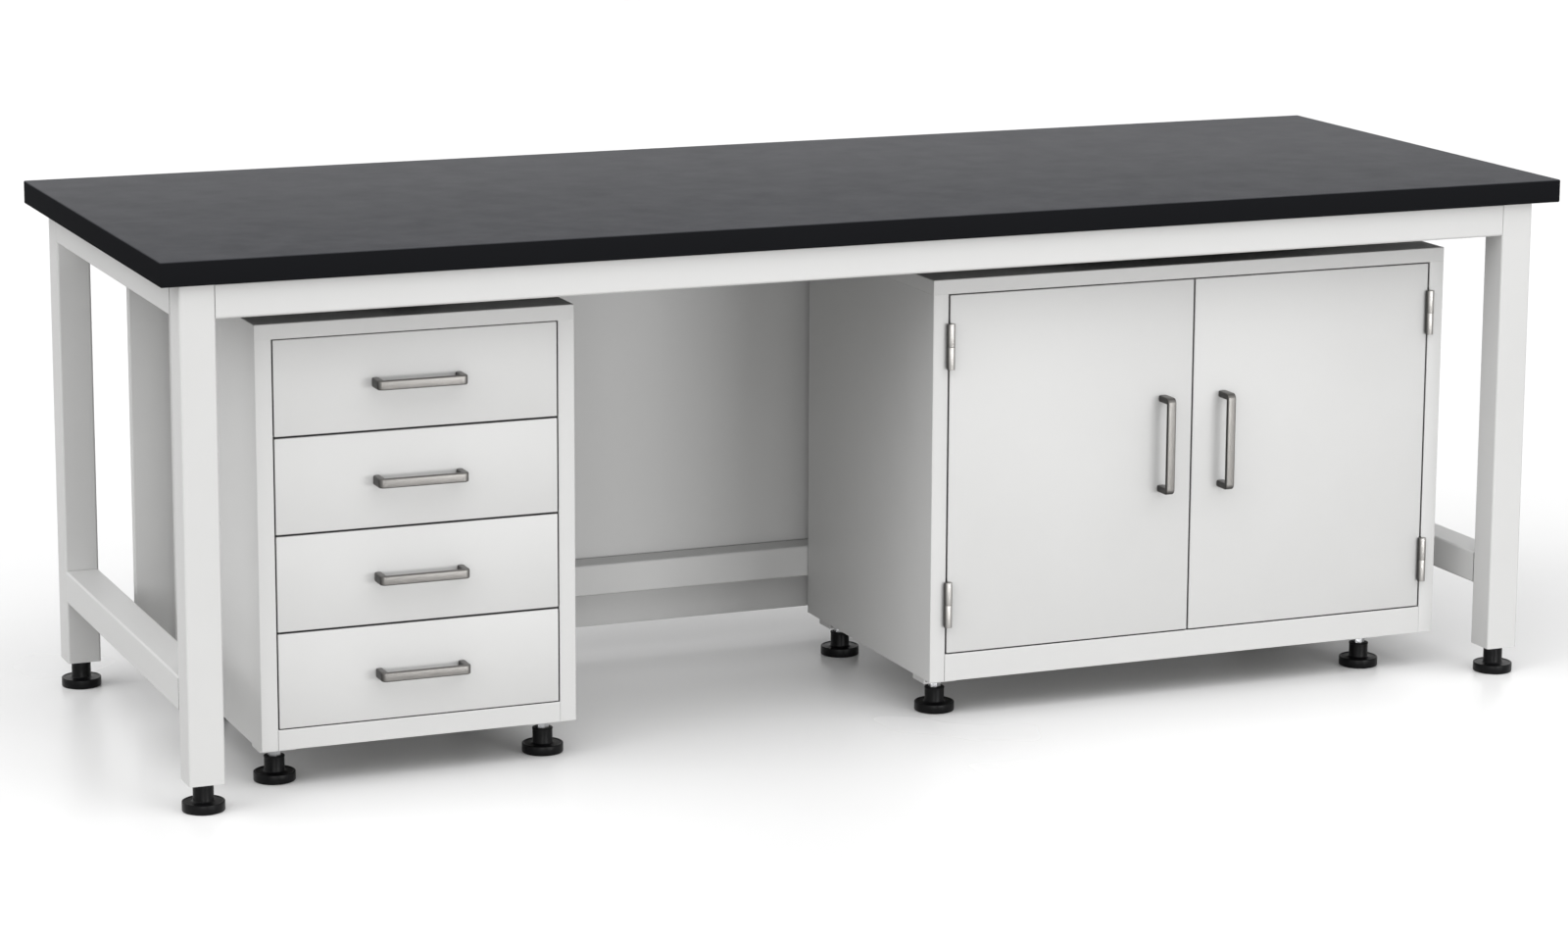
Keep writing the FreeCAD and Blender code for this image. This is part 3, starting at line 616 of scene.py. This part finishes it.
def dress_feet():
    leg_base = spun("leg_foot_pattern", foot_outline(LEG_COLLAR_TOP))
    unit_base = spun("unit_foot_pattern", foot_outline(UNIT_COLLAR_TOP))
    spindle = spun("foot_spindle_pattern", thread_outline())
    nut = headed("foot_nut_pattern", NUT_RADIUS, NUT_HEIGHT, NUT_SIDES, NUT_CHAMFER)
    for node in [name for name in nodes if name.endswith("_foot")]:
        low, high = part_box(node)
        middle = (low + high) * 0.5
        place = Vector((middle.x, middle.y, 0.0))
        under_leg = node.endswith("_leg_foot")
        foot = copy_to(leg_base if under_leg else unit_base, node + "_base", place)
        stand_for(foot, node, PLASTIC)
        pieces = [copy_to(spindle, node + "_spindle", place)]
        if not under_leg:
            pieces.append(copy_to(nut, node + "_nut", place + Vector((0, 0, UNIT_COLLAR_TOP))))
        for piece in pieces:
            finish_with(piece, ZINC)
            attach(piece, body_of_node[node])
    remove(leg_base, unit_base, spindle, nut)


def dress_fasteners():
    """The screws that hold the back panel to the stretcher."""
    screw = headed("screw_pattern", SCREW_RADIUS, SCREW_HEIGHT, SCREW_SIDES, SCREW_CROWN)
    panel_low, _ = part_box("back_panel")
    rail_low, rail_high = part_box("long_stretcher")
    facing_rear = Matrix.Rotation(-math.pi / 2, 4, "X")
    for index in range(PANEL_SCREWS):
        share = (index + 0.5) / PANEL_SCREWS
        x = rail_low.x + (rail_high.x - rail_low.x) * share
        place = Vector((x, panel_low.y + PANEL_SHEET, (rail_low.z + rail_high.z) * 0.5))
        piece = copy_to(screw, "panel_screw_%d" % (index + 1), place, facing_rear)
        finish_with(piece, ZINC)
        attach(piece, body_of_node["back_panel"])
    remove(screw)


dress_steel()
dress_fittings()
dress_feet()
dress_fasteners()


# Studio

def seen_share(tree):
    """One for the camera and for what shiny or clear pieces show, nothing for the light on the object."""
    path = tree.nodes.new("ShaderNodeLightPath")
    share = path.outputs["Is Camera Ray"]
    for ray in ("Is Glossy Ray", "Is Transmission Ray"):
        either = tree.nodes.new("ShaderNodeMath")
        either.operation = "MAXIMUM"
        tree.links.new(share, either.inputs[0])
        tree.links.new(path.outputs[ray], either.inputs[1])
        share = either.outputs["Value"]
    return share


def make_floor():
    bpy.ops.object.select_all(action="DESELECT")
    bpy.ops.mesh.primitive_plane_add(size=FLOOR_SIZE, location=(0, 0, -FLOOR_DROP))
    floor = bpy.context.object
    floor.name = "studio_floor"
    finish = Finish("pale_floor")
    grain = finish.group(GRAIN, Grain=60.0, Cloud=0.7)
    pale = finish.colour(grain["Cloudiness"], *FLOOR_TONES)
    tone = finish.tree.nodes.new("ShaderNodeMix")
    tone.data_type = "RGBA"
    tone.inputs["A"].default_value = (*FLOOR_BOUNCE, 1)
    finish.tree.links.new(pale, tone.inputs["B"])
    finish.tree.links.new(seen_share(finish.tree), tone.inputs["Factor"])
    finish.tree.links.new(tone.outputs["Result"], finish.shader.inputs["Base Color"])
    finish.roughness(grain["Cloudiness"], 0.24, 0.28)
    finish.set(Specular_IOR_Level=0.18)
    floor.data.materials.append(finish.material)


def sky_glow(tree, direction, middle, level):
    """Light that falls off from the middle of the glow."""
    turn = tree.nodes.new("ShaderNodeVectorMath")
    turn.operation = "DOT_PRODUCT"
    tree.links.new(direction, turn.inputs[0])
    turn.inputs[1].default_value = middle
    narrowed = tree.nodes.new("ShaderNodeMath")
    narrowed.operation = "POWER"
    tree.links.new(mapped(tree, turn.outputs["Value"], 0.0, 1.0, 0.0, 1.0), narrowed.inputs[0])
    narrowed.inputs[1].default_value = GLOW_SPREAD
    return mapped(tree, narrowed.outputs["Value"], 0.0, 1.0, 0.0, level)


def make_world():
    """White to the camera and in reflections, and soft light on the object."""
    world = bpy.data.worlds.new("studio")
    bpy.context.scene.world = world
    world.use_nodes = True
    tree = world.node_tree
    light = tree.nodes["Background"]
    light.inputs["Color"].default_value = (1, 1, 1, 1)
    coordinates = tree.nodes.new("ShaderNodeTexCoord")
    both = tree.nodes.new("ShaderNodeMath")
    both.operation = "ADD"
    for index, (middle, level) in enumerate(GLOWS):
        tree.links.new(sky_glow(tree, coordinates.outputs["Generated"], middle, level), both.inputs[index])
    tree.links.new(both.outputs["Value"], light.inputs["Strength"])
    backdrop = tree.nodes.new("ShaderNodeBackground")
    backdrop.inputs["Color"].default_value = (1, 1, 1, 1)
    backdrop.inputs["Strength"].default_value = 1.0
    mix = tree.nodes.new("ShaderNodeMixShader")
    tree.links.new(seen_share(tree), mix.inputs["Fac"])
    tree.links.new(light.outputs["Background"], mix.inputs[1])
    tree.links.new(backdrop.outputs["Background"], mix.inputs[2])
    tree.links.new(mix.outputs["Shader"], tree.nodes["World Output"].inputs["Surface"])


def make_softbox(name, place, aim, size, power):
    lamp = bpy.data.lights.new(name, "AREA")
    lamp.shape = "RECTANGLE"
    lamp.size, lamp.size_y = size
    lamp.energy = power
    item = bpy.data.objects.new(name, lamp)
    item.location = place
    item.rotation_euler = (Vector(aim) - Vector(place)).to_track_quat("-Z", "Y").to_euler()
    bpy.context.scene.collection.objects.link(item)


def make_camera():
    camera = bpy.data.cameras.new("camera")
    camera.sensor_fit = "HORIZONTAL"
    camera.sensor_width = SENSOR_WIDTH
    camera.lens = SENSOR_WIDTH * CAMERA_FOCUS / PICTURE_WIDTH
    camera.shift_y = CAMERA_RISE / PICTURE_WIDTH
    camera.clip_end = 200.0
    item = bpy.data.objects.new("camera", camera)
    turn = Matrix.Rotation(-CAMERA_YAW, 4, "Z") @ Matrix.Rotation(math.pi / 2 - CAMERA_PITCH, 4, "X")
    item.matrix_world = Matrix.Translation(CAMERA_PLACE) @ turn @ Matrix.Rotation(CAMERA_ROLL, 4, "Z")
    bpy.context.scene.collection.objects.link(item)
    bpy.context.scene.camera = item


make_floor()
make_world()
for name, (place, aim, size, power) in SOFTBOXES.items():
    make_softbox(name, place, aim, size, power)
make_camera()
bpy.context.scene.view_settings.view_transform = "Standard"
